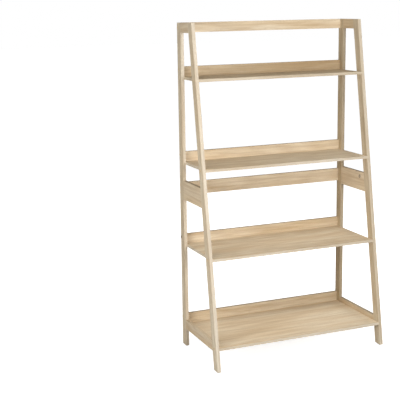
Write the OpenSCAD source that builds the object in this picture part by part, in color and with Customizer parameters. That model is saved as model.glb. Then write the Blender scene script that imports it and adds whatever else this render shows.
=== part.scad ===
// Ladder shelf: two side frames with upright back legs and leaning front legs,
// four shelves that get deeper towards the floor, and a low board behind each shelf.
// X is the width, the back faces +Y, and Z = 0 is the floor.

/* [Overall] */
// Width across the outer faces of the legs
overall_w = 815; // [600:5:1000]
// Height of the side frames above the floor
overall_h = 1450; // [1400:10:1700]
// Depth at the floor, back face to front feet
floor_depth = 400; // [360:5:460]
// Depth at the top of the side frames
top_depth = 164; // [150:2:200]

/* [Side frames] */
// Thickness of the legs and of the pieces between them
leg_t = 15; // [15:1:20]
// Depth of a leg, square to its length
leg_depth = 40; // [38:1:50]
// Height of the top rails and of the bottom side boards
rail_h = 42; // [40:1:56]
// Height of the mid side panels
mid_panel_h = 84; // [80:2:110]

/* [Rear rails] */
// Thickness of the rear rails and the back boards
rear_t = 15; // [12:1:18]
// Height of the mid back rail
mid_rail_h = 58; // [50:1:80]
// Height of a back board, from the underside of its shelf
back_board_h = 55; // [48:1:75]

/* [Shelves] */
// Thickness of a shelf
shelf_t = 12; // [12:1:18]
// Height of the lowest shelf's top face above the floor
bottom_shelf_top = 104; // [96:1:130]
// Distance from one shelf to the next
shelf_pitch = 372; // [350:1:376]
// Reach of the bottom side boards below the lowest shelf's underside
side_board_drop = 8; // [0:1:12]

/* [Fittings] */
// Diameter of the screw shanks
screw_d = 5; // [4:0.5:6]
// Length of the screws
screw_l = 50; // [40:1:60]
// Height of the screw in a back board above its shelf
board_screw_rise = 29; // [20:1:34]
// Diameter of the cover caps
cap_d = 12; // [10:1:13]
// Height of a pressed-in cover cap
cap_t = 1; // [0.6:0.2:2]
// Height of the domed caps at the fixed shelf
dome_t = 3; // [1:0.5:4]
// Diameter of the wooden dowels
dowel_d = 6; // [5:1:7]
// Length of the wooden dowels
dowel_l = 24; // [20:1:28]
// Diameter of the cam locks
cam_d = 15; // [12:1:16]
// Distance from the front leg to the centre of a cam lock
cam_setback = 36; // [24:1:40]
// Thickness of the foot glides
glide_t = 3; // [2:0.5:5]

/* [Hidden] */
$fn = 48;

LEFT = -1;
RIGHT = 1;
SIDES = [LEFT, RIGHT];
UPPER_TIERS = [1, 2, 3];
FIXED_TIER = 3;
LOWEST_TIER = 4;
TIERS = concat(UPPER_TIERS, [LOWEST_TIER]);

oak = [0.84, 0.74, 0.59];
oak_pale = [0.88, 0.80, 0.67];
beech = [0.80, 0.66, 0.46];
steel = [0.62, 0.63, 0.65];
zinc = [0.52, 0.50, 0.47];
grey_plastic = [0.45, 0.44, 0.42];

// Side view: Y and Z of the frame's main lines
back_y = floor_depth / 2;
lean = atan((floor_depth - top_depth) / overall_h);
leg_run = leg_depth / cos(lean);
back_leg_front_y = back_y - leg_depth;
inner_x = overall_w / 2 - leg_t;
rear_front_y = back_y - rear_t;
rear_mid_y = back_y - rear_t / 2;

function front_y(z) = -floor_depth / 2 + (floor_depth - top_depth) * z / overall_h;
function front_leg_back_y(z) = front_y(z) + leg_run;
function shelf_top(tier) = bottom_shelf_top + (LOWEST_TIER - tier) * shelf_pitch;
function shelf_mid(tier) = shelf_top(tier) - shelf_t / 2;

// Heights of the pieces between the legs
top_rail_z = [overall_h - rail_h, overall_h];
mid_panel_z = [(overall_h - mid_panel_h) / 2, (overall_h + mid_panel_h) / 2];
side_board_low = bottom_shelf_top - shelf_t - side_board_drop;
side_board_z = [side_board_low, side_board_low + rail_h];

// Extra length of a cut where it opens through a face
over = 1;

// Screws: [Y, Z] on the outer faces of the legs
head_d = 8;
head_h = 4;
mid_rail_screw_gap = 32;
shelf_screw_places = [for (tier = TIERS) [front_y(shelf_mid(tier)) + leg_run / 2, shelf_mid(tier)]];
rail_screw_places = concat(
    [for (step = [-1, 1]) [rear_mid_y, (overall_h + step * mid_rail_screw_gap) / 2]],
    [[rear_mid_y, overall_h - rail_h / 2]],
    [for (tier = TIERS) board_screw_place(tier)]
);
function board_screw_place(tier) = [rear_mid_y, shelf_top(tier) + board_screw_rise];

// Cam locks, at one height in both mid side panels
cam_drop = 21;
cam_z = mid_panel_z[1] - cam_drop;
cam_joint_z = cam_z + cam_setback * sin(lean);
cam_depth = 12;
cam_slot = [8, 1.8, 1.6];
bolt_d = 6;
bolt_bore_d = 7;
bolt_neck_d = 4;
bolt_head_l = 3;
bolt_neck_l = 6;
bolt_in_leg = 11;

// Dowels: heights in the side frames, and places in the shelves
dowel_inset = 11;
front_dowel_zs = [
    top_rail_z[0] + dowel_inset, top_rail_z[1] - dowel_inset,
    mid_panel_z[0] + cam_drop,
    side_board_z[0] + dowel_inset, side_board_z[1] - dowel_inset
];
back_dowel_zs = concat(front_dowel_zs, [cam_z]);
shelf_end_dowel_y = (rear_front_y + back_leg_front_y) / 2;
side_board_dowel_ys = [back_leg_front_y * 0.75, 0, -back_leg_front_y * 0.65];
rear_dowel_reach = 10;
rear_dowel_xs = [for (step = [-1, 0, 1]) step * overall_w * 0.37];

// Foot glides
glide_w = 11;
glide_l = 31;
nail_d = 3;
nail_l = 12;

// A plate as thick as a leg, in the plane of one side frame; the outline is [Y, Z]
module side_plate(side, outline) {
    translate([side == LEFT ? -overall_w / 2 : inner_x, 0, 0])
        rotate([90, 0, 90])
            linear_extrude(leg_t)
                polygon(outline);
}

// A plate that fills the gap between the two legs of one side
module plate_between_legs(side, zs) {
    side_plate(side, [
        [back_leg_front_y, zs[0]],
        [back_leg_front_y, zs[1]],
        [front_leg_back_y(zs[1]), zs[1]],
        [front_leg_back_y(zs[0]), zs[0]]
    ]);
}

// A board that runs across between the two side frames
module cross_board(y_front, y_back, z_low, z_high) {
    translate([-inner_x, y_front, z_low])
        cube([2 * inner_x, y_back - y_front, z_high - z_low]);
}

// Places children on a leg's outer face, with their +Z pointing into the shelf
module on_outer_face(side, place) {
    translate([side * overall_w / 2, place[0], place[1]])
        rotate([0, -side * 90, 0])
            children();
}

// Place children on a joint in a side frame, with their +Z pointing away from the leg
module on_back_joint(side, z) {
    translate([side * (overall_w - leg_t) / 2, back_leg_front_y, z])
        rotate([90, 0, 0])
            children();
}

module on_front_joint(side, z) {
    translate([side * (overall_w - leg_t) / 2, front_leg_back_y(z), z])
        rotate([-90 - lean, 0, 0])
            children();
}

module screw(mouth = 0) {
    translate([0, 0, -mouth])
        cylinder(d = head_d, h = head_h + mouth);
    cylinder(d = screw_d, h = screw_l);
}

module cap(height, edge) {
    mirror([0, 0, 1]) {
        cylinder(d = cap_d, h = height - edge);
        translate([0, 0, height - edge])
            cylinder(d1 = cap_d, d2 = cap_d - 3 * edge, h = edge);
    }
}

module dowel() {
    cylinder(d = dowel_d, h = dowel_l, center = true);
}

module rail_screws_of(side, mouth = 0) {
    for (place = rail_screw_places)
        on_outer_face(side, place) screw(mouth);
}

module shelf_screws_of(side, mouth = 0) {
    for (place = shelf_screw_places)
        on_outer_face(side, place) screw(mouth);
}

module frame_dowels_of(side) {
    for (z = back_dowel_zs)
        on_back_joint(side, z) dowel();
    for (z = front_dowel_zs)
        on_front_joint(side, z) dowel();
}

// Dowels from the upper shelves into the back legs, and from the lowest shelf into its side boards
module shelf_end_dowels_of(side) {
    for (tier = UPPER_TIERS)
        translate([side * inner_x, shelf_end_dowel_y, shelf_mid(tier)])
            rotate([0, 90, 0]) dowel();
    for (y = side_board_dowel_ys)
        translate([side * inner_x, y, shelf_mid(LOWEST_TIER)])
            rotate([0, 90, 0]) dowel();
}

// Dowels from a shelf's rear edge into its back board
module shelf_rear_dowels(tier) {
    for (x = rear_dowel_xs)
        translate([x, rear_front_y + rear_dowel_reach - dowel_l / 2, shelf_mid(tier)])
            rotate([90, 0, 0]) dowel();
}

// A bolt from a front leg to the centre of its cam lock
module cam_bolt() {
    neck_z = cam_setback - bolt_head_l - bolt_neck_l;
    translate([0, 0, -bolt_in_leg])
        cylinder(d = bolt_d, h = bolt_in_leg + neck_z);
    translate([0, 0, neck_z])
        cylinder(d = bolt_neck_d, h = bolt_neck_l);
    translate([0, 0, neck_z + bolt_neck_l])
        cylinder(d = bolt_d, h = bolt_head_l);
}

module cam_body(side, mouth = 0) {
    translate([-side * (leg_t / 2 + mouth), 0, cam_setback])
        rotate([0, side * 90, 0])
            cylinder(d = cam_d, h = cam_depth + mouth);
}

module cam_lock(side) {
    difference() {
        cam_body(side);
        cylinder(d = bolt_bore_d, h = cam_setback);
        translate([-side * leg_t / 2, 0, cam_setback])
            rotate([0, side * 90, 0]) {
                cube([cam_slot[0], cam_slot[1], 2 * cam_slot[2]], center = true);
                cube([cam_slot[1], cam_slot[0], 2 * cam_slot[2]], center = true);
            }
    }
}

// The bore and the pocket in a mid side panel
module cam_cut(side) {
    translate([0, 0, -over])
        cylinder(d = bolt_bore_d, h = cam_setback + over);
    cam_body(side, over);
}

module glide_nail() {
    translate([0, 0, glide_t / 2])
        cylinder(d = nail_d, h = nail_l + glide_t / 2);
}

module on_feet_of(side) {
    for (y = [back_y - leg_depth / 2, front_y(glide_t) + leg_run / 2])
        translate([side * (overall_w - leg_t) / 2, y, 0])
            children();
}

module foot_glide() {
    straight = glide_l - glide_w;
    translate([-glide_w / 2, -straight / 2, 0])
        cube([glide_w, straight, glide_t]);
    for (end = [-1, 1])
        translate([0, end * straight / 2, 0])
            cylinder(d = glide_w, h = glide_t);
    glide_nail();
}

module back_leg(side) {
    color(oak_pale)
        difference() {
            side_plate(side, [
                [back_leg_front_y, glide_t],
                [back_y, glide_t],
                [back_y, overall_h],
                [back_leg_front_y, overall_h]
            ]);
            rail_screws_of(side, over);
            frame_dowels_of(side);
            shelf_end_dowels_of(side);
            on_feet_of(side) glide_nail();
        }
}

module front_leg(side) {
    color(oak_pale)
        difference() {
            side_plate(side, [
                [front_y(glide_t), glide_t],
                [front_leg_back_y(glide_t), glide_t],
                [front_leg_back_y(overall_h), overall_h],
                [front_y(overall_h), overall_h]
            ]);
            shelf_screws_of(side, over);
            frame_dowels_of(side);
            on_front_joint(side, cam_joint_z) cam_bolt();
            on_feet_of(side) glide_nail();
        }
}

module top_side_rail(side) {
    color(oak)
        difference() {
            plate_between_legs(side, top_rail_z);
            frame_dowels_of(side);
        }
}

module mid_side_panel(side) {
    color(oak)
        difference() {
            plate_between_legs(side, mid_panel_z);
            frame_dowels_of(side);
            on_front_joint(side, cam_joint_z) cam_cut(side);
        }
}

module bottom_side_board(side) {
    color(oak)
        difference() {
            plate_between_legs(side, side_board_z);
            frame_dowels_of(side);
            shelf_end_dowels_of(side);
        }
}

module back_rail(z_low, z_high) {
    color(oak)
        difference() {
            cross_board(rear_front_y, back_y, z_low, z_high);
            for (side = SIDES) rail_screws_of(side);
        }
}

module shelf(tier) {
    color(oak)
        difference() {
            cross_board(front_y(shelf_mid(tier)), rear_front_y, shelf_top(tier) - shelf_t, shelf_top(tier));
            for (side = SIDES) {
                shelf_screws_of(side);
                shelf_end_dowels_of(side);
            }
            shelf_rear_dowels(tier);
        }
}

module back_board(tier) {
    z_low = shelf_top(tier) - shelf_t;
    color(oak)
        difference() {
            cross_board(rear_front_y, back_y, z_low, z_low + back_board_h);
            for (side = SIDES) rail_screws_of(side);
            shelf_rear_dowels(tier);
        }
}

module rail_screws() {
    color(steel)
        for (side = SIDES) rail_screws_of(side);
}

module shelf_screws() {
    color(steel)
        for (side = SIDES) shelf_screws_of(side);
}

module cover_caps() {
    fixed_place = board_screw_place(FIXED_TIER);
    plain_places = [for (place = rail_screw_places) if (place != fixed_place) place];
    color(oak_pale)
        for (side = SIDES)
            for (place = concat(plain_places, shelf_screw_places))
                on_outer_face(side, place) cap(cap_t, cap_t * 0.4);
}

module fixed_shelf_caps() {
    color(oak)
        for (side = SIDES)
            on_outer_face(side, board_screw_place(FIXED_TIER)) cap(dome_t, dome_t * 0.4);
}

module cam_locks() {
    color(zinc)
        for (side = SIDES)
            on_front_joint(side, cam_joint_z) cam_lock(side);
}

module cam_bolts() {
    color(steel)
        for (side = SIDES)
            on_front_joint(side, cam_joint_z) cam_bolt();
}

module frame_dowels() {
    color(beech)
        for (side = SIDES) frame_dowels_of(side);
}

module shelf_dowels() {
    color(beech) {
        for (side = SIDES) shelf_end_dowels_of(side);
        for (tier = TIERS) shelf_rear_dowels(tier);
    }
}

module foot_glides() {
    color(grey_plastic)
        for (side = SIDES)
            on_feet_of(side) foot_glide();
}

back_leg(LEFT);  // left_back_leg
back_leg(RIGHT);  // right_back_leg
front_leg(LEFT);  // left_front_leg
front_leg(RIGHT);  // right_front_leg
top_side_rail(LEFT);  // left_top_side_rail
top_side_rail(RIGHT);  // right_top_side_rail
mid_side_panel(LEFT);  // left_mid_side_panel
mid_side_panel(RIGHT);  // right_mid_side_panel
bottom_side_board(LEFT);  // left_bottom_side_board
bottom_side_board(RIGHT);  // right_bottom_side_board
back_rail(top_rail_z[0], top_rail_z[1]);  // top_back_rail
back_rail((overall_h - mid_rail_h) / 2, (overall_h + mid_rail_h) / 2);  // mid_back_rail
shelf(1);  // shelf_1
shelf(2);  // shelf_2
shelf(3);  // shelf_3
shelf(4);  // shelf_4
back_board(1);  // back_board_1
back_board(2);  // back_board_2
back_board(3);  // back_board_3
back_board(4);  // back_board_4
rail_screws();
shelf_screws();
cover_caps();
fixed_shelf_caps();
cam_locks();
cam_bolts();
frame_dowels();
shelf_dowels();
foot_glides();
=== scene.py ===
"""Ladder shelf: drilled oak-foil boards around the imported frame, with their fittings, in a white studio.

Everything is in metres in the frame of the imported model. X is the width, the back faces +Y, and Z = 0 is
the floor.
"""

import math

import bmesh
import bpy
from mathutils import Matrix, Vector


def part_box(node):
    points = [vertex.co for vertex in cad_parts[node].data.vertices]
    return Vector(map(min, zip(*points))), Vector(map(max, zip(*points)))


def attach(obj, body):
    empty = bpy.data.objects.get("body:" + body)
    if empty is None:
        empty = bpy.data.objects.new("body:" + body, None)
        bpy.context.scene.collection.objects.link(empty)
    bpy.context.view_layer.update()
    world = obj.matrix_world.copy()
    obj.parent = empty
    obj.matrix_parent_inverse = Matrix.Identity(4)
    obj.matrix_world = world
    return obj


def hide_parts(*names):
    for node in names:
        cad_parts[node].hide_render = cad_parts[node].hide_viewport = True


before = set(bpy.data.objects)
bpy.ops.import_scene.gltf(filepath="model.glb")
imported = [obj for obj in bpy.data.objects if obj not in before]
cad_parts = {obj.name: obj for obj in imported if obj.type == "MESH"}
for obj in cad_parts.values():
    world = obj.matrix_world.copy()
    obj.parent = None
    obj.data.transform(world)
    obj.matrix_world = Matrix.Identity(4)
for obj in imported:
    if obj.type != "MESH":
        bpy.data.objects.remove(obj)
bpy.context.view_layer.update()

X, Y, Z = Vector((1, 0, 0)), Vector((0, 1, 0)), Vector((0, 0, 1))

# Meshes: points closer than this are one, and edges up to this angle in degrees are shaded smooth
SAME_POINT = 1e-6
SMOOTH_ANGLE = 35

# Boards
SIDE_PLATES = "top_side_rail", "mid_side_panel", "bottom_side_board"
BACK_RAILS = "top_back_rail", "mid_back_rail"
TIERS = 1, 2, 3, 4
ARRIS = 0.0006
ARRIS_STEPS = 2
FACE_SLOT, ARRIS_SLOT, EDGE_SLOT = 0, 1, 2

# The fittings that each kind of board is drilled for
FITTINGS = {
    "back_leg": ("rail_screws", "frame_dowels", "shelf_dowels"),
    "front_leg": ("shelf_screws", "frame_dowels", "cam_bolts"),
    "top_side_rail": ("frame_dowels",),
    "mid_side_panel": ("frame_dowels", "cam_bolts", "cam_locks"),
    "bottom_side_board": ("frame_dowels", "shelf_dowels"),
    "back_rail": ("rail_screws",),
    "shelf": ("shelf_screws", "shelf_dowels"),
    "back_board": ("rail_screws", "shelf_dowels"),
}

# Boards are numbered. With each number a board's stretch of wood lies a step further along the grain, and
# a share of that step further across it
GRAIN_STEP = 1.7
GRAIN_SIDESTEP = 0.31
SIDE_NUMBERS = {"left": 10, "right": 20}
BACK_RAIL_NUMBERS, SHELF_NUMBERS, BACK_BOARD_NUMBERS = 30, 40, 50

# How dark each board is made, from 0 to 1, and the colours that it is multiplied by at 0 and at 1.
# This is partly the foil's own tone, which differs from board to board, and partly painted shade:
# boards that stand in shadow, such as the right back leg, the top shelf and the top back board, are
# darkened, and the cooler pale end partly paints the washed-out colour of brightly lit faces
COMMON_SHADE = 0.5
SHADES = {
    "top_back_rail": 0.0,
    "mid_back_rail": 0.1,
    "back_board_1": 1.0,
    "back_board_2": 0.0,
    "back_board_3": 0.0,
    "back_board_4": 0.3,
    "left_top_side_rail": 0.3,
    "right_top_side_rail": 0.3,
    "left_mid_side_panel": 0.1,
    "right_mid_side_panel": 0.1,
    "left_bottom_side_board": 0.3,
    "left_front_leg": 0.1,
    "left_back_leg": 0.3,
    "right_back_leg": 1.0,
    "shelf_1": 0.7,
    "shelf_2": 0.2,
    "shelf_3": 0.2,
    "shelf_4": 0.1,
}
LIGHT_SHEET, DARK_SHEET = (1.06, 1.10, 1.18, 1.0), (0.80, 0.77, 0.72, 1.0)

# Boards whose edge band is as pale as their faces
PALE_BANDED = ("left_bottom_side_board",)

# Caps: steps around the cap and over its rim, the crown's height as a share of the rim's rounding, and a
# point of the crown, as shares of the way out and of the drop
CAP_STEPS = 40
RIM_STEPS = 5
CROWN = 0.3
CROWN_OUT, CROWN_DROP = 0.55, 0.35

# Foot glides: (inset, height) of the rounded sole, and the nail, whose ribs lie at shares of its length
GLIDE_SOLE = ((0.0014, 0.0), (0.0007, 0.0002), (0.0002, 0.0006), (0.0, 0.0012))
GLIDE_END_STEPS = 12
NAIL_RADIUS, NAIL_ROOT, NAIL_STEPS = 0.0015, 0.001, 20
RIBS, RIBS_FROM, RIBS_SPAN, NAIL_TIP_FROM = 5, 0.15, 0.7, 0.86
RIB_NECK, RIB_HEIGHT = 0.86, 0.0003

# Cam locks: the casting's rounding, and angles in degrees
CASTING_ROUND = 0.00025
CASTING_FLAT, CASTING_SHARP, CASTING_SMOOTH_ANGLE = 2, 40, 30

# Screws, cam bolts and dowels. THREAD_FLAT is a share of a turn; THREAD_ROOT, BOLT_WAIST, FLUTE_DEPTH and
# the first number of each point in DOWEL_END are shares of the radius
AXIS_ROUNDS = 40
TURNED_STEPS = 24
THREAD_RINGS = 5
THREAD_FLAT = 0.35
THREAD_ROOT = 0.74
HEAD = 0.004
SOCKET, SOCKET_DEPTH = 0.004, 0.0028
SCREW_SHANK, SCREW_PITCH = 0.0025, 0.0024
BOLT_HEAD, BOLT_NECK, BOLT_NECK_RADIUS = 0.003, 0.006, 0.002
BOLT_IN_LEG, BOLT_PITCH, BOLT_WAIST = 0.011, 0.0018, 0.9
SOFTENED = 0.0003
FLUTES, FLUTE_STEPS, FLUTE_DEPTH, FLUTES_FROM = 12, 4, 0.10, 0.0022
DOWEL_END = ((0.78, 0.0), (0.95, 0.0010))
DOWEL_SMOOTH_ANGLE = 24
END_DOWEL_REACH = 0.02

# Oak figure: features a metre along and across the wood, and the noise's detail and roughness
SWAY = 1.6, 5.0, 3.0
BROAD = 1.8, 16.0, 3.0, 0.55
BANDS = 2.6, 48.0, 3.0, 0.55
STREAKS = 6.0, 130.0, 4.0, 0.6
FIBRES = 30.0, 1100.0, 3.0, 0.6
PORES = 90.0, 1500.0, 1.0, 0.4

# Growth rings: how far the figure runs across and into the wood before it turns back, how fast the pith
# sinks along the board, how far it sways, and the rings' phase for each metre from the pith
RINGS_ACROSS, RINGS_DEEP = 0.11, 0.05
PITH_LEAN, PITH_SWAY = 0.06, 0.05
RING_PHASE = 700.0

# How strongly each part of the figure shows
STREAK_SHARE, FIBRE_SHARE, PORE_SHARE = 0.55, 0.22, 0.35
RING_SHARE, BAND_RING_SHARE = 0.16, 0.05
PORE_DARKNESS = 0.45
# The arris is mixed toward a paler colour: rubbed wear and a painted sheen
ARRIS_WEAR_AND_SHEEN, ARRIS_PALENESS = 0.25, 1.12
OAK_ROUGHNESS, ARRIS_ROUGHNESS = 0.52, 0.46

# Camera: where it stands, how it is turned, and its lens
CAMERA_AT = Vector((-1.898, -3.652, 1.534))
CAMERA_YAW = math.radians(22.38)
CAMERA_PITCH = math.radians(11.32)
CAMERA_ROLL = math.radians(-0.88)
LENS = 85.3
SENSOR = 36.0
SHIFT_UP = -0.02

# Studio: soft square lights that face one point, each with its place, size, power, and whether it shows
# in gloss
LIGHTS = {
    "front_key": ((0.2, -3.0, 1.3), 0.9, 51, True),
    "high_front_fill": ((0.3, -1.8, 3.0), 1.1, 18, True),
    "high_left_fill": ((-2.2, -2.0, 3.2), 1.2, 30, True),
    "left_fill": ((-2.6, -1.2, 1.0), 1.0, 44, True),
    "right_fill": ((3.4, 0.7, 1.1), 1.5, 60, True),
    "back_fill": ((0.3, 3.2, 2.4), 2.0, 56, False),
}
LIGHTS_FACE = Vector((0, 0, 0.75))
AMBIENT = 0.05
FLOOR_HALF = 30.0
FLOOR_GREYS = 0.58, 0.60
FLOOR_GLOW = 0.80
FLOOR_CLEAR_FROM, FLOOR_CLEAR_TO = 0.4, 1.1


# ---------------------------------------------------------------- meshes


def around(count):
    """Each place in a closed ring, with the next place."""
    return [(i, (i + 1) % count) for i in range(count)]


def to_mesh(shape, name):
    """Turns a bmesh into a mesh, and frees it."""
    mesh = bpy.data.meshes.new(name)
    shape.to_mesh(mesh)
    shape.free()
    return mesh


def smooth(mesh, degrees=SMOOTH_ANGLE):
    """Shades a mesh smooth, apart from its edges that are sharper than an angle."""
    mesh.polygons.foreach_set("use_smooth", [True] * len(mesh.polygons))
    mesh.set_sharp_from_angle(angle=math.radians(degrees))


def new_piece(name, mesh, node, materials):
    """A piece that stands for a CAD node, with the materials that it is given, in place of that node."""
    piece = bpy.data.objects.new(name, mesh)
    bpy.context.scene.collection.objects.link(piece)
    for material in materials:
        mesh.materials.append(material)
    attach(piece, "root")
    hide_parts(node)
    return piece


def prism(x_low, x_high, outline):
    """A closed prism along X over an outline of (Y, Z) points, as a bmesh."""
    shape = bmesh.new()
    low = [shape.verts.new((x_low, y, z)) for y, z in outline]
    high = [shape.verts.new((x_high, y, z)) for y, z in outline]
    shape.faces.new(low)
    shape.faces.new(high[::-1])
    for i, j in around(len(outline)):
        shape.faces.new((low[j], low[i], high[i], high[j]))
    bmesh.ops.recalc_face_normals(shape, faces=shape.faces)
    return shape


def band_edges(shape, through):
    """Marks the narrow faces around a board with the edge band's material."""
    for face in shape.faces:
        face.material_index = FACE_SLOT if abs(face.normal.dot(through)) > 0.9 else EDGE_SLOT


def ease_edges(shape):
    """Rounds every edge of a board, and marks the new faces with the arris material."""
    bmesh.ops.bevel(
        shape,
        geom=shape.edges[:],
        offset=ARRIS,
        segments=ARRIS_STEPS,
        profile=0.5,
        affect="EDGES",
        clamp_overlap=True,
        material=ARRIS_SLOT,
    )


def drill(piece, fittings):
    """Cuts the holes that the fittings sit in."""
    for fitting in fittings:
        cut = piece.modifiers.new("drill_" + fitting, "BOOLEAN")
        cut.operation = "DIFFERENCE"
        cut.solver = "EXACT"
        cut.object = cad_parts[fitting]
    depsgraph = bpy.context.evaluated_depsgraph_get()
    drilled = bpy.data.meshes.new_from_object(piece.evaluated_get(depsgraph))
    piece.modifiers.clear()
    drilled.name = piece.data.name
    piece.data = drilled


def add_grain(mesh, along, across, number, shade):
    """Stores where each point lies in the board's own wood, in metres, and how dark the board is made: its
    foil's tone and, for some boards, a painted shade.
    """
    through = along.cross(across)
    step = GRAIN_STEP * (number + 1)
    grain = [
        (v.co.dot(along) + step, v.co.dot(across) + step * GRAIN_SIDESTEP, v.co.dot(through))
        for v in mesh.vertices
    ]
    wood = mesh.attributes.new("grain", "FLOAT_VECTOR", "POINT")
    wood.data.foreach_set("vector", [c for point in grain for c in point])
    # The board's darkness: its own tone, and for boards in shadow a painted shade
    tone_and_shade = mesh.attributes.new("tone_and_shade", "FLOAT", "POINT")
    tone_and_shade.data.foreach_set("value", [shade] * len(grain))


# ---------------------------------------------------------------- boards


def front_leg_lines():
    """The front legs' lean, and functions of Z for the Y of their front and rear faces."""
    upper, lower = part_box("left_top_side_rail")[0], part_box("left_bottom_side_board")[0]
    lean = (upper.y - lower.y) / (upper.z - lower.z)
    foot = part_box("left_front_leg")[0]
    return (
        lean,
        lambda z: foot.y + lean * (z - foot.z),
        lambda z: lower.y + lean * (z - lower.z),
    )


LEAN, front_line, rear_line = front_leg_lines()
LEG_AXIS = Vector((0, LEAN, 1)).normalized()


def box_outline(node):
    """The (Y, Z) outline of an upright or level board."""
    low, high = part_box(node)
    return [(low.y, low.z), (high.y, low.z), (high.y, high.z), (low.y, high.z)]


def leaning_leg_outline(node):
    """The (Y, Z) outline of a front leg, whose foot and head are cut level."""
    low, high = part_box(node)
    return [
        (front_line(low.z), low.z),
        (rear_line(low.z), low.z),
        (rear_line(high.z), high.z),
        (front_line(high.z), high.z),
    ]


def side_plate_outline(node):
    """The (Y, Z) outline of a board between two legs, whose front end is cut to the front leg's lean."""
    low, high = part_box(node)
    return [(rear_line(low.z), low.z), (high.y, low.z), (high.y, high.z), (rear_line(high.z), high.z)]


def board(node, kind, outline, along, across, slot, number):
    """One board: a drilled prism with rounded arrises, an edge band and its own stretch of grain."""
    low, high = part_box(node)
    shape = prism(low.x, high.x, outline)
    band_edges(shape, along.cross(across))
    ease_edges(shape)
    looks = PALE_BANDED_BOARD if node in PALE_BANDED else OAK[slot]
    piece = new_piece(node + "_oak", to_mesh(shape, node + "_oak"), node, looks)
    drill(piece, FITTINGS[kind])
    add_grain(piece.data, along, across, number, SHADES.get(node, COMMON_SHADE))


def make_boards():
    """The two side frames, the rails at the back, and the shelves with their back boards."""
    for side, number in SIDE_NUMBERS.items():
        leg = f"{side}_back_leg"
        board(leg, "back_leg", box_outline(leg), Z, Y, "oak_legs", number)
        leg = f"{side}_front_leg"
        board(leg, "front_leg", leaning_leg_outline(leg), LEG_AXIS, X.cross(LEG_AXIS), "oak_legs", number + 1)
        for place, kind in enumerate(SIDE_PLATES, number + 2):
            plate = f"{side}_{kind}"
            board(plate, kind, side_plate_outline(plate), Y, Z, "oak_boards", place)
    for place, rail in enumerate(BACK_RAILS, BACK_RAIL_NUMBERS):
        board(rail, "back_rail", box_outline(rail), X, Z, "oak_boards", place)
    for tier in TIERS:
        shelf, back = f"shelf_{tier}", f"back_board_{tier}"
        board(shelf, "shelf", box_outline(shelf), X, Y, "oak_shelves", SHELF_NUMBERS + tier)
        board(back, "back_board", box_outline(back), X, Z, "oak_boards", BACK_BOARD_NUMBERS + tier)


# ---------------------------------------------------------------- fittings


def solids_of(node):
    """The points of each separate solid in a CAD node."""
    shape = bmesh.new()
    shape.from_mesh(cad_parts[node].data)
    bmesh.ops.remove_doubles(shape, verts=shape.verts, dist=SAME_POINT)
    solids, seen = [], set()
    for start in shape.verts:
        if start in seen:
            continue
        points, queue = [], [start]
        seen.add(start)
        while queue:
            vert = queue.pop()
            points.append(vert.co.copy())
            for edge in vert.link_edges:
                other = edge.other_vert(vert)
                if other not in seen:
                    seen.add(other)
                    queue.append(other)
        solids.append(points)
    shape.free()
    return solids


def corners_of(points):
    """The lowest and the highest corner of the box around some points."""
    return tuple(Vector(pick(p[i] for p in points) for i in range(3)) for pick in (min, max))


def inward(middle):
    """The direction along X from a point to the middle of the shelf."""
    return Vector((-math.copysign(1, middle.x), 0, 0))


def upended(at, axis):
    """A matrix that puts something that stands along +Z at a point, along an axis."""
    return Matrix.Translation(at) @ axis.to_track_quat("Z", "Y").to_matrix().to_4x4()


def lathe(shape, profile, steps, place):
    """Adds a closed turned solid, put in place by a matrix.

    The profile runs from axis to axis, as (radius, height) points. A radius can also be a function of the
    turn, in parts of a whole turn.
    """
    rings = []
    for radius, height in profile:
        if radius == 0:
            rings.append([shape.verts.new(place @ Vector((0, 0, height)))])
            continue
        ring = []
        for i in range(steps):
            reach = radius(i / steps) if callable(radius) else radius
            turn = math.tau * i / steps
            point = Vector((reach * math.cos(turn), reach * math.sin(turn), height))
            ring.append(shape.verts.new(place @ point))
        rings.append(ring)
    faces = []
    for lower, upper in zip(rings, rings[1:]):
        for places in around(steps):
            corners = [lower[i % len(lower)] for i in places]
            corners += [upper[i % len(upper)] for i in reversed(places)]
            faces.append(shape.faces.new(dict.fromkeys(corners)))
    bmesh.ops.recalc_face_normals(shape, faces=faces)


def crowned_disc(radius, height, rim):
    """(radius, height) points of a disc with a rounded rim and a low crown."""
    crown = rim * CROWN
    points = [(0, 0), (radius, 0)]
    for i in range(RIM_STEPS + 1):
        turn = math.pi / 2 * i / RIM_STEPS
        points.append((radius - rim + rim * math.cos(turn), height - crown - rim + rim * math.sin(turn)))
    return points + [((radius - rim) * CROWN_OUT, height - crown * CROWN_DROP), (0, height)]


def make_caps(node, rim_share, plastic):
    """Press-in caps on the legs' outer faces. The rim's rounding is a share of the cap's height."""
    shape = bmesh.new()
    for points in solids_of(node):
        low, high = corners_of(points)
        middle = (low + high) / 2
        side = math.copysign(1, middle.x)
        radius, height = (high.z - low.z) / 2, high.x - low.x
        foot = Vector((min(abs(low.x), abs(high.x)) * side, middle.y, middle.z))
        place = upended(foot, Vector((side, 0, 0)))
        lathe(shape, crowned_disc(radius, height, height * rim_share), CAP_STEPS, place)
    mesh = to_mesh(shape, node + "_detail")
    smooth(mesh)
    new_piece(node + "_detail", mesh, node, [plastic])


def stadium(middle, radius, straight):
    """(X, Y) points around a pad with two straight sides and two half-round ends."""
    points = []
    for end, start in ((1, 0), (-1, math.pi)):
        for i in range(GLIDE_END_STEPS + 1):
            turn = start + math.pi * i / GLIDE_END_STEPS
            x, y = radius * math.cos(turn), end * straight / 2 + radius * math.sin(turn)
            points.append((middle.x + x, middle.y + y))
    return points


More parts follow.
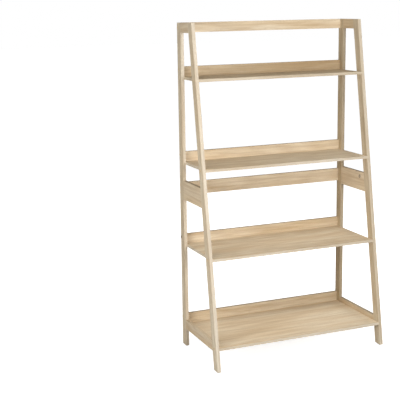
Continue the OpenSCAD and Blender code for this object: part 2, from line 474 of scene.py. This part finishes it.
def add_pad(shape, low, high, top):
    """Adds a glide's pad, from its rounded sole up to the leg's foot."""
    middle, width, length = (low + high) / 2, high.x - low.x, high.y - low.y
    rings = []
    for inset, height in GLIDE_SOLE + ((0, top),):
        outline = stadium(middle, width / 2 - inset, length - width)
        rings.append([shape.verts.new((x, y, low.z + height)) for x, y in outline])
    for lower, upper in zip(rings, rings[1:]):
        for i, j in around(len(lower)):
            shape.faces.new((lower[i], lower[j], upper[j], upper[i]))
    shape.faces.new(rings[0][::-1])
    shape.faces.new(rings[-1])


def nail_profile(length):
    """A ribbed nail, from its root inside the pad to its tip."""
    profile = [(0, -NAIL_ROOT), (NAIL_RADIUS, -NAIL_ROOT)]
    for rib in range(RIBS):
        height = length * (RIBS_FROM + RIBS_SPAN * rib / RIBS)
        profile += [(NAIL_RADIUS * RIB_NECK, height), (NAIL_RADIUS, height + RIB_HEIGHT)]
    return profile + [(NAIL_RADIUS, length * NAIL_TIP_FROM), (0, length)]


def make_glides():
    """Nail-on foot glides: a pad with a rounded sole, and its ribbed nail up into the leg."""
    shape = bmesh.new()
    pad_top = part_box("left_back_leg")[0].z
    for points in solids_of("foot_glides"):
        low, high = corners_of(points)
        middle = (low + high) / 2
        add_pad(shape, low, high, pad_top)
        place = Matrix.Translation((middle.x, middle.y, pad_top))
        lathe(shape, nail_profile(high.z - pad_top), NAIL_STEPS, place)
    bmesh.ops.recalc_face_normals(shape, faces=shape.faces)
    mesh = to_mesh(shape, "foot_glides_detail")
    smooth(mesh)
    new_piece("foot_glides_detail", mesh, "foot_glides", [GLIDE])


def make_cam_locks():
    """The cam housings as the frame has them, with every edge of the casting softened."""
    shape = bmesh.new()
    shape.from_mesh(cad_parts["cam_locks"].data)
    bmesh.ops.remove_doubles(shape, verts=shape.verts, dist=SAME_POINT)
    flat = math.radians(CASTING_FLAT)
    bmesh.ops.dissolve_limit(shape, angle_limit=flat, verts=shape.verts, edges=shape.edges)
    sharp = [
        edge for edge in shape.edges
        if len(edge.link_faces) == 2 and edge.calc_face_angle() > math.radians(CASTING_SHARP)
    ]
    bmesh.ops.bevel(shape, geom=sharp, offset=CASTING_ROUND, segments=2, profile=0.5, affect="EDGES")
    bmesh.ops.recalc_face_normals(shape, faces=shape.faces)
    mesh = to_mesh(shape, "cam_locks_detail")
    smooth(mesh, CASTING_SMOOTH_ANGLE)
    new_piece("cam_locks_detail", mesh, "cam_locks", [ZINC])


def turned_solids(node, towards):
    """For each turned solid of a node: the matrix that stands it on its start, its length and its radius.

    The axis points the way that towards(middle) says, and starts at the end behind.
    """
    for points in solids_of(node):
        middle = sum(points, Vector()) / len(points)
        axis = towards(middle)
        for _ in range(AXIS_ROUNDS):
            axis = sum(((p - middle).dot(axis) * (p - middle) for p in points), Vector()).normalized()
        reach = [(p - middle).dot(axis) for p in points]
        radius = max(((p - middle) - (p - middle).dot(axis) * axis).length for p in points)
        yield upended(middle + min(reach) * axis, axis), max(reach) - min(reach), radius


def turned_piece(node, material, towards, profile_of, steps=TURNED_STEPS, degrees=SMOOTH_ANGLE):
    """One piece with a turned solid for each solid of a CAD node."""
    shape = bmesh.new()
    for place, length, radius in turned_solids(node, towards):
        lathe(shape, profile_of(length, radius), steps, place)
    mesh = to_mesh(shape, node + "_detail")
    smooth(mesh, degrees)
    new_piece(node + "_detail", mesh, node, [material])


def hexagon(width):
    """The radius of a hexagon, from flat to flat, at each part of a whole turn."""
    return lambda turn: width / 2 / math.cos(math.radians((turn * 360) % 60 - 30))


def threaded(crest, root, pitch, height):
    """The radius of a screw thread at a height, at each part of a whole turn."""
    def radius(turn):
        phase = abs((height / pitch - turn) % 1 - 0.5) * 2
        return root + (crest - root) * max(0.0, (phase - THREAD_FLAT) / (1 - THREAD_FLAT))
    return radius


def thread(crest, root, pitch, start, end):
    """(radius, height) rings of a thread that fades in and out at its ends."""
    count = round((end - start) / pitch * THREAD_RINGS)
    rings = []
    for i in range(count + 1):
        height = start + (end - start) * i / count
        fade = min(1.0, i / THREAD_RINGS, (count - i) / THREAD_RINGS)
        rings.append((threaded(root + (crest - root) * fade, root, pitch, height), height))
    return rings


def screw_profile(length, radius):
    """A flat-headed furniture screw with a hexagon socket, a rolled thread and a blunt point."""
    root = SCREW_SHANK * THREAD_ROOT
    socket = [
        (0, SOCKET_DEPTH), (hexagon(SOCKET), SOCKET_DEPTH),
        (hexagon(SOCKET), 0.0002), (hexagon(SOCKET + SOFTENED), 0),
    ]
    head = [
        (radius - 0.0005, 0), (radius - 0.00015, 0.00015), (radius, 0.0005),
        (radius, HEAD - SOFTENED), (radius - SOFTENED, HEAD),
    ]
    shank = [(SCREW_SHANK, HEAD), (SCREW_SHANK, HEAD + 0.004), (root, HEAD + 0.0055)]
    turns = thread(SCREW_SHANK, root, SCREW_PITCH, HEAD + 0.0065, length - 0.004)
    point = [(root, length - 0.003), (SCREW_SHANK * 0.35, length - 0.0004), (0, length)]
    return socket + head + shank + turns + point


def bolt_profile(length, radius):
    """A cam bolt: a threaded end, two collars with a waist, the neck that the cam grips, and a head."""
    root, waist = radius * THREAD_ROOT, radius * BOLT_WAIST
    neck, head = length - BOLT_HEAD - BOLT_NECK, length - BOLT_HEAD
    tip = [(0, 0), (radius * 0.6, 0), (root, 0.0008)]
    turns = thread(radius, root, BOLT_PITCH, 0.001, BOLT_IN_LEG - 0.0015)
    first_collar = [
        (root, BOLT_IN_LEG - 0.001), (radius, BOLT_IN_LEG - 0.0004),
        (radius, BOLT_IN_LEG + 0.0012), (waist, BOLT_IN_LEG + 0.0016),
    ]
    second_collar = [
        (waist, neck - 0.0016), (radius, neck - 0.0012), (radius, neck - SOFTENED), (radius - SOFTENED, neck),
    ]
    grip = [
        (BOLT_NECK_RADIUS, neck), (BOLT_NECK_RADIUS, head),
        (radius - SOFTENED, head), (radius, head + SOFTENED), (radius, length - 0.0009),
        (radius * 0.85, length - 0.0003), (radius * 0.5, length), (0, length),
    ]
    return tip + turns + first_collar + second_collar + grip


def dowel_profile(length, radius):
    """A fluted dowel with chamfered ends."""
    def fluted(turn):
        return radius * (1 - FLUTE_DEPTH * (0.5 + 0.5 * math.cos(math.tau * turn * FLUTES)))

    start = [(0, 0)] + [(radius * share, height) for share, height in DOWEL_END] + [(fluted, FLUTES_FROM)]
    return start + [(reach, length - height) for reach, height in reversed(start)]


def dowel_direction(middle):
    """Shelf dowels run across at the shelf's ends, and front to back at its rear edge."""
    inner_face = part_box("right_back_leg")[0].x
    return inward(middle) if abs(abs(middle.x) - inner_face) < END_DOWEL_REACH else Y


def make_hardware():
    """Screws, bolts and dowels, most of them out of sight inside the boards."""
    for node in ("rail_screws", "shelf_screws"):
        turned_piece(node, STEEL, inward, screw_profile)
    turned_piece("cam_bolts", STEEL, lambda middle: Y, bolt_profile)
    for node, towards in (("frame_dowels", lambda middle: Y), ("shelf_dowels", dowel_direction)):
        turned_piece(
            node, BEECH, towards, dowel_profile, FLUTES * FLUTE_STEPS, DOWEL_SMOOTH_ANGLE)


# ---------------------------------------------------------------- shader nodes


def srgb(red, green, blue):
    """A colour given as it shows on screen, from 0 to 255, in the renderer's linear values."""
    return tuple(((c / 255 + 0.055) / 1.055) ** 2.4 for c in (red, green, blue)) + (1.0,)


def scaled(colour, factor):
    """A colour made darker or lighter, but no lighter than white."""
    return tuple(min(1.0, c * factor) for c in colour[:3]) + (1.0,)


def start_material(name):
    """A new material, its node tree and its surface shader."""
    material = bpy.data.materials.new(name)
    material.use_nodes = True
    tree = material.node_tree
    return material, tree, tree.nodes["Principled BSDF"]


def fill(tree, node, **inputs):
    """Fills a node's inputs, each with a number, a colour, or another node's output to link.

    An input goes by its name, with _ for each space, or by _ and its place.
    """
    for key, value in inputs.items():
        socket = node.inputs[int(key[1:])] if key[0] == "_" else node.inputs[key.replace("_", " ")]
        if isinstance(value, bpy.types.NodeSocket):
            tree.links.new(value, socket)
        else:
            socket.default_value = value


def add(tree, kind, settings=None, **inputs):
    """Adds a shader node with its settings, and fills its inputs."""
    node = tree.nodes.new("ShaderNode" + kind)
    for key, value in (settings or {}).items():
        setattr(node, key, value)
    fill(tree, node, **inputs)
    return node


def calc(tree, operation, a, b=0.0):
    """One step of arithmetic, on one or two numbers."""
    return add(tree, "Math", {"operation": operation}, _0=a, _1=b).outputs[0]


def spread(tree, value, low, high, to_low=0.0, to_high=1.0):
    """Maps the numbers from low to high to other ones, with soft ends."""
    return add(
        tree, "MapRange", {"interpolation_type": "SMOOTHSTEP"},
        Value=value, From_Min=low, From_Max=high, To_Min=to_low, To_Max=to_high,
    ).outputs[0]


def blend(tree, share, first, second, mode="MIX"):
    """Mixes a share of the second colour into the first."""
    settings = {"data_type": "RGBA", "blend_type": mode}
    return add(tree, "Mix", settings, _0=share, _6=first, _7=second).outputs[2]


def noise(tree, where, scale, detail):
    """Even noise, with a number of features a metre."""
    return add(tree, "TexNoise", Vector=where, Scale=scale, Detail=detail).outputs["Fac"]


def stretched_noise(tree, wood, along, across, detail=2.0, roughness=0.5):
    """Noise with its own number of features a metre along and across the wood."""
    where = add(tree, "VectorMath", {"operation": "MULTIPLY"}, _0=wood, _1=(along, across, across)).outputs[0]
    features = {"Scale": 1.0, "Detail": detail, "Roughness": roughness}
    return add(tree, "TexNoise", Vector=where, **features).outputs["Fac"]


def relief(tree, height, strength, distance):
    """Normals with a fine bump."""
    return add(tree, "Bump", Height=height, Strength=strength, Distance=distance).outputs[0]


# ---------------------------------------------------------------- materials


def growth_rings(tree, wood):
    """Cathedral figure: rings of a log whose axis leans slightly to the board, from 0 to 1."""
    along, across, deep = add(tree, "SeparateXYZ", Vector=wood).outputs
    sway = calc(tree, "SUBTRACT", stretched_noise(tree, wood, *SWAY), 0.5)
    across = calc(tree, "PINGPONG", across, RINGS_ACROSS)
    across = calc(tree, "ADD", across, calc(tree, "MULTIPLY", sway, PITH_SWAY))
    lean = calc(tree, "PINGPONG", calc(tree, "MULTIPLY", along, PITH_LEAN), RINGS_DEEP)
    deep = calc(tree, "ADD", deep, lean)
    squares = [calc(tree, "MULTIPLY", part, part) for part in (across, deep)]
    radius = calc(tree, "SQRT", calc(tree, "ADD", *squares))
    wave = calc(tree, "SINE", calc(tree, "MULTIPLY", radius, RING_PHASE))
    return calc(tree, "MULTIPLY", calc(tree, "ADD", wave, 1.0), 0.5)


def oak(name, pale, golden, brown, arris=False, band=False):
    """Light oak foil: golden streaks, faint growth rings, fine fibres and short pores, under satin lacquer.

    An edge band's figure is straighter, and the rounded arris is made paler, as rubbed wear and a painted
    sheen.
    """
    material, tree, surface = start_material(name)
    wood = add(tree, "Attribute", {"attribute_name": "grain"}).outputs["Vector"]
    tone_and_shade = add(tree, "Attribute", {"attribute_name": "tone_and_shade"}).outputs["Fac"]
    fibres = stretched_noise(tree, wood, *FIBRES)
    pores = spread(tree, stretched_noise(tree, wood, *PORES), 0.66, 0.74)
    rings = calc(tree, "MULTIPLY", growth_rings(tree, wood), BAND_RING_SHARE if band else RING_SHARE)

    colour = blend(tree, spread(tree, stretched_noise(tree, wood, *BROAD), 0.35, 0.72), pale, golden)
    for streaks in (BANDS, STREAKS):
        share = spread(tree, stretched_noise(tree, wood, *streaks), 0.42, 0.74, 0.0, STREAK_SHARE)
        colour = blend(tree, share, colour, brown)
    colour = blend(tree, rings, colour, brown)
    colour = blend(tree, spread(tree, fibres, 0.35, 0.75, 0.0, FIBRE_SHARE), colour, brown)
    colour = blend(tree, calc(tree, "MULTIPLY", pores, PORE_SHARE), colour, scaled(brown, PORE_DARKNESS))
    # The board's tone and painted shade: its colour multiplied between the light and the dark sheet
    colour = blend(tree, 1.0, colour, blend(tree, tone_and_shade, LIGHT_SHEET, DARK_SHEET), "MULTIPLY")
    # The arris made paler: rubbed wear and a painted sheen
    if arris:
        colour = blend(tree, ARRIS_WEAR_AND_SHEEN, colour, scaled(pale, ARRIS_PALENESS))

    shine = calc(tree, "ADD", spread(tree, fibres, 0.3, 0.7, 0.0, 0.10), calc(tree, "MULTIPLY", pores, 0.15))
    height = calc(tree, "SUBTRACT", calc(tree, "MULTIPLY", fibres, 0.5), calc(tree, "MULTIPLY", pores, 0.9))
    fill(
        tree, surface,
        Base_Color=colour,
        Roughness=calc(tree, "ADD", shine, ARRIS_ROUGHNESS if arris else OAK_ROUGHNESS),
        Normal=relief(tree, height, strength=0.35, distance=0.0003),
        Specular_IOR_Level=0.35,
        Coat_Weight=0.08,
        Coat_Roughness=0.5,
    )
    return material


def moulded_plastic(name, light, dark, roughness):
    """Matte plastic with a faint mottle and a fine spark-eroded texture."""
    material, tree, surface = start_material(name)
    where = add(tree, "TexCoord").outputs["Object"]
    mottle, fine = noise(tree, where, 160.0, 3.0), noise(tree, where, 2600.0, 2.0)
    fill(
        tree, surface,
        Base_Color=blend(tree, spread(tree, mottle, 0.35, 0.65), light, dark),
        Roughness=spread(tree, fine, 0.3, 0.7, roughness - 0.06, roughness + 0.08),
        Normal=relief(tree, fine, strength=0.25, distance=0.0001),
    )
    return material


def plated_metal(name, light, dark, roughness):
    """Zinc-plated metal with fine turning marks and a clouded sheen."""
    material, tree, surface = start_material(name)
    where = add(tree, "TexCoord").outputs["Object"]
    cloud, marks = noise(tree, where, 220.0, 4.0), noise(tree, where, 2400.0, 2.0)
    fill(
        tree, surface,
        Base_Color=blend(tree, spread(tree, cloud, 0.3, 0.7), light, dark),
        Roughness=spread(tree, marks, 0.3, 0.7, roughness - 0.08, roughness + 0.12),
        Normal=relief(tree, marks, strength=0.3, distance=0.0001),
        Metallic=1.0,
    )
    return material


def beech(name, light, dark, fleck):
    """Plain beech with short flecks."""
    material, tree, surface = start_material(name)
    where = add(tree, "TexCoord").outputs["Object"]
    cloud, flecks = noise(tree, where, 60.0, 3.0), noise(tree, where, 700.0, 2.0)
    colour = blend(tree, spread(tree, cloud, 0.3, 0.7), light, dark)
    fill(
        tree, surface,
        Base_Color=blend(tree, spread(tree, flecks, 0.6, 0.75, 0.0, 0.5), colour, fleck),
        Roughness=spread(tree, flecks, 0.3, 0.7, 0.6, 0.75),
        Normal=relief(tree, flecks, strength=0.3, distance=0.0002),
    )
    return material


# Oak colours: pale, golden and brown. The legs' and shelves' wide faces, which mostly stand in shade, get a
# warmer copy, and their narrow edges, which face the light, a paler and cooler copy: painted shade and
# painted light over the edge band's own colour. The shelves are paler than the other boards, partly painted
# light on their tops.
LEG_TONES = srgb(214, 199, 171), srgb(204, 184, 151), srgb(172, 147, 113)
BOARD_TONES = srgb(219, 201, 171), srgb(208, 184, 147), srgb(175, 146, 108)
SHELF_TONES = srgb(230, 213, 183), srgb(220, 196, 160), srgb(190, 162, 123)
LIT_EDGE_TONES = srgb(214, 201, 178), srgb(205, 189, 162), srgb(178, 156, 126)
TOP_EDGE_TONES = srgb(190, 174, 148), srgb(178, 157, 126), srgb(146, 123, 93)
OAK_ARRIS = oak("oak_arris", *LEG_TONES, arris=True)
# The edge band of the legs and shelves, in its paler painted-light copy
PALE_LIT_EDGE = oak("oak_edge_band_painted_lit", *LIT_EDGE_TONES, band=True)
DARK_EDGE = oak("oak_dark_edge_band", *TOP_EDGE_TONES, band=True)
PLAIN_EDGE = oak("oak_plain_edge_band", *BOARD_TONES, band=True)

# What goes in FACE_SLOT, ARRIS_SLOT and EDGE_SLOT, for each slot of the record
OAK = {
    "oak_legs": [oak("oak_leg_face", *LEG_TONES), OAK_ARRIS, PALE_LIT_EDGE],
    "oak_boards": [oak("oak_board_face", *BOARD_TONES), OAK_ARRIS, DARK_EDGE],
    "oak_shelves": [oak("oak_shelf_face", *SHELF_TONES), OAK_ARRIS, PALE_LIT_EDGE],
}
PALE_BANDED_BOARD = [OAK["oak_boards"][FACE_SLOT], OAK_ARRIS, PLAIN_EDGE]
CAP = moulded_plastic("moulded_cap", srgb(206, 184, 148), srgb(196, 172, 134), 0.5)
DARK_CAP = moulded_plastic("moulded_dark_cap", srgb(146, 132, 110), srgb(124, 111, 91), 0.5)
GLIDE = moulded_plastic("moulded_glide", srgb(120, 117, 112), srgb(104, 101, 97), 0.55)
STEEL = plated_metal("zinc_plate", srgb(200, 202, 206), srgb(168, 170, 174), 0.32)
ZINC = plated_metal("zinc_casting", srgb(146, 136, 120), srgb(108, 99, 86), 0.45)
BEECH = beech("beech_dowel", srgb(214, 184, 140), srgb(198, 164, 118), srgb(150, 112, 72))


# ---------------------------------------------------------------- studio


def make_floor():
    """A wide pale floor. To the camera it glows, and away from the shelf it is as white as the background."""
    shape = bmesh.new()
    corners = (-1, -1), (1, -1), (1, 1), (-1, 1)
    shape.faces.new([shape.verts.new((x * FLOOR_HALF, y * FLOOR_HALF, 0)) for x, y in corners])
    floor = bpy.data.objects.new("studio_floor", to_mesh(shape, "studio_floor"))
    bpy.context.scene.collection.objects.link(floor)
    material, tree, surface = start_material("studio_white")
    mottle = add(tree, "TexNoise", Scale=3.0).outputs["Fac"]
    dark, light = ((grey, grey, grey, 1) for grey in FLOOR_GREYS)
    seen = add(tree, "LightPath").outputs["Is Camera Ray"]
    where = add(tree, "TexCoord").outputs["Object"]
    distance = add(tree, "VectorMath", {"operation": "LENGTH"}, _0=where).outputs["Value"]
    glow = spread(tree, distance, FLOOR_CLEAR_FROM, FLOOR_CLEAR_TO, FLOOR_GLOW, 1.0)
    fill(
        tree, surface,
        Base_Color=blend(tree, mottle, dark, light),
        Roughness=0.9,
        Emission_Color=(1, 1, 1, 1),
        Emission_Strength=calc(tree, "MULTIPLY", seen, glow),
    )
    floor.data.materials.append(material)


def make_light(name, at, size, power, glossy):
    """A soft square light that faces the middle of the shelf."""
    light = bpy.data.lights.new(name, "AREA")
    light.shape = "SQUARE"
    light.size = size
    light.energy = power
    lamp = bpy.data.objects.new(name, light)
    bpy.context.scene.collection.objects.link(lamp)
    lamp.location = at
    lamp.visible_camera = False
    lamp.visible_glossy = glossy
    lamp.rotation_mode = "QUATERNION"
    lamp.rotation_quaternion = (LIGHTS_FACE - Vector(at)).to_track_quat("-Z", "Y")


def make_studio():
    """The lights, and a sky that is white to the camera and dim to everything else."""
    world = bpy.data.worlds.new("studio_world")
    bpy.context.scene.world = world
    world.use_nodes = True
    tree = world.node_tree
    seen = add(tree, "LightPath").outputs["Is Camera Ray"]
    strength = add(tree, "Mix", {"data_type": "FLOAT"}, _0=seen, _2=AMBIENT, _3=1.0).outputs[0]
    fill(tree, tree.nodes["Background"], Color=(1, 1, 1, 1), Strength=strength)
    for name, light in LIGHTS.items():
        make_light(name, *light)
    bpy.context.scene.view_settings.view_transform = "Standard"
    bpy.context.scene.view_settings.look = "None"


def make_camera():
    """The photographer's view: turned by the yaw, tilted down by the pitch, and rolled."""
    forward = Vector((math.sin(CAMERA_YAW), math.cos(CAMERA_YAW), 0))
    right = forward.cross(Z)
    view = math.cos(CAMERA_PITCH) * forward - math.sin(CAMERA_PITCH) * Z
    up = math.sin(CAMERA_PITCH) * forward + math.cos(CAMERA_PITCH) * Z
    rolled_right = math.cos(CAMERA_ROLL) * right + math.sin(CAMERA_ROLL) * up
    rolled_up = math.cos(CAMERA_ROLL) * up - math.sin(CAMERA_ROLL) * right
    lens = bpy.data.cameras.new("camera")
    lens.lens = LENS
    lens.sensor_width = SENSOR
    lens.shift_y = SHIFT_UP
    camera = bpy.data.objects.new("camera", lens)
    bpy.context.scene.collection.objects.link(camera)
    turn = Matrix((rolled_right, rolled_up, -view)).transposed()
    camera.matrix_world = Matrix.Translation(CAMERA_AT) @ turn.to_4x4()
    bpy.context.scene.camera = camera


make_boards()
make_caps("cover_caps", 0.5, CAP)
make_caps("fixed_shelf_caps", 0.45, DARK_CAP)
make_glides()
make_cam_locks()
make_hardware()
make_floor()
make_studio()
make_camera()
